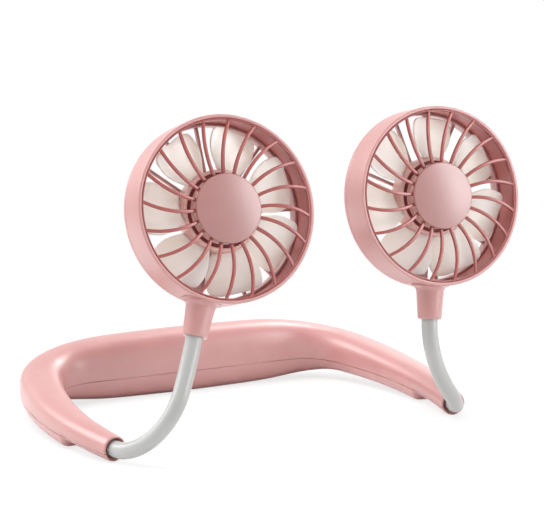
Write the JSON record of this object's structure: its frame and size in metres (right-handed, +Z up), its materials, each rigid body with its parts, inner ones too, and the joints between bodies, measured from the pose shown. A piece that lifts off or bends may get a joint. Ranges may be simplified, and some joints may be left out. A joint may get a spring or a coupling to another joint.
{
  "type": "electric neck fan",
  "caption": "Wearable neck fan: a smooth hollow neckband with a caged fan head on a bendable gooseneck at each front tip, a push button and a charging socket under the arms.",
  "frame": {"origin": "middle of the neck opening, level with the axes of the two tips", "axes": "+X to the right seen from the open front, -Y to the open front, +Z up through the neck opening"},
  "size_m": [0.1953, 0.151, 0.142],
  "materials": {
    "pink_shell": "satin moulded",
    "pink_grille": "satin moulded",
    "pink_cap": "satin moulded",
    "cream_blades": "smooth moulded",
    "white_sleeve": "smooth silicone",
    "wound_core": "wound wire",
    "lead_insulation": "smooth insulation",
    "ferrule": "turned",
    "motor_case": "plated",
    "magnet": "sintered",
    "motor_plastic": "moulded",
    "windings": "enamelled wire",
    "shaft": "ground",
    "cell_sleeve": "shrink wrap",
    "circuit_board": "solder mask",
    "screws": "plated",
    "button": "satin moulded",
    "switch": "moulded",
    "light_guide": "clear moulded",
    "socket_shell": "stamped"
  },
  "bodies": {
    "neckband": {"upper_shell": "pink_shell", "lower_shell": "pink_shell", "battery_cell": "cell_sleeve", "control_board": "circuit_board", "shell_screws": "screws", "board_screws": "screws", "tact_switch": "switch", "switch_board": "circuit_board", "light_pipe": "light_guide", "charge_socket": "socket_shell", "charge_board": "circuit_board", "left_lower_ferrule": "ferrule", "right_lower_ferrule": "ferrule"},
    "power_button": {"power_button": "button", "switch_plunger": "switch"},
    "left_lower_arm": {"left_gooseneck_sleeve": "white_sleeve"},
    "left_upper_arm": {"left_gooseneck_core": "wound_core"},
    "left_head": {"left_front_shell": "pink_shell", "left_front_grille": "pink_grille", "left_hub_cap": "pink_cap", "left_rear_cover": "pink_shell", "left_motor_can": "motor_case", "left_motor_magnet": "magnet", "left_motor_end_cap": "motor_plastic", "left_upper_ferrule": "ferrule", "left_gooseneck_leads": "lead_insulation"},
    "left_fan": {"left_impeller": "cream_blades", "left_motor_shaft": "shaft", "left_motor_armature": "windings"},
    "right_lower_arm": {"right_gooseneck_sleeve": "white_sleeve"},
    "right_upper_arm": {"right_gooseneck_core": "wound_core"},
    "right_head": {"right_front_shell": "pink_shell", "right_front_grille": "pink_grille", "right_hub_cap": "pink_cap", "right_rear_cover": "pink_shell", "right_motor_can": "motor_case", "right_motor_magnet": "magnet", "right_motor_end_cap": "motor_plastic", "right_upper_ferrule": "ferrule", "right_gooseneck_leads": "lead_insulation"},
    "right_fan": {"right_impeller": "cream_blades", "right_motor_shaft": "shaft", "right_motor_armature": "windings"}
  },
  "joints": [
    {"name": "button_press", "type": "slide", "parent": "neckband", "child": "power_button", "axis": [0, 0, 1], "range_m": [0, 0.0008], "stiffness_N_per_m": 500},
    {"name": "left_arm_swing", "type": "hinge", "parent": "neckband", "child": "left_lower_arm", "pos_m": [-0.0766, -0.03491, 0], "axis": [0, 0, 1], "range_deg": [-25, 25], "deforming": ["left_gooseneck_sleeve", "left_gooseneck_core", "left_gooseneck_leads"]},
    {"name": "left_arm_bend", "type": "hinge", "parent": "left_lower_arm", "child": "left_upper_arm", "pos_m": [-0.06802, -0.04925, 0.00796], "axis": [1, 0, 0], "range_deg": [-25, 25]},
    {"name": "left_head_tilt", "type": "hinge", "parent": "left_upper_arm", "child": "left_head", "pos_m": [-0.05015, -0.04543, 0.0394], "axis": [1, 0, 0], "range_deg": [-30, 30]},
    {"name": "left_fan_spin", "type": "hinge", "parent": "left_head", "child": "left_fan", "pos_m": [-0.03116, -0.03043, 0.09123], "axis": [0.0067, -0.9612, 0.2756], "continuous": true},
    {"name": "right_arm_swing", "type": "hinge", "parent": "neckband", "child": "right_lower_arm", "pos_m": [0.0766, -0.03491, 0], "axis": [0, 0, 1], "range_deg": [-25, 25], "deforming": ["right_gooseneck_sleeve", "right_gooseneck_core", "right_gooseneck_leads"]},
    {"name": "right_arm_bend", "type": "hinge", "parent": "right_lower_arm", "child": "right_upper_arm", "pos_m": [0.07332, -0.04025, 0.00284], "axis": [1, 0, 0], "range_deg": [-25, 25]},
    {"name": "right_head_tilt", "type": "hinge", "parent": "right_upper_arm", "child": "right_head", "pos_m": [0.05955, -0.04084, 0.0346], "axis": [1, 0, 0], "range_deg": [-30, 30]},
    {"name": "right_fan_spin", "type": "hinge", "parent": "right_head", "child": "right_fan", "pos_m": [0.06664, -0.02899, 0.09011], "axis": [0.0068, -0.9781, 0.2079], "continuous": true}
  ]
}
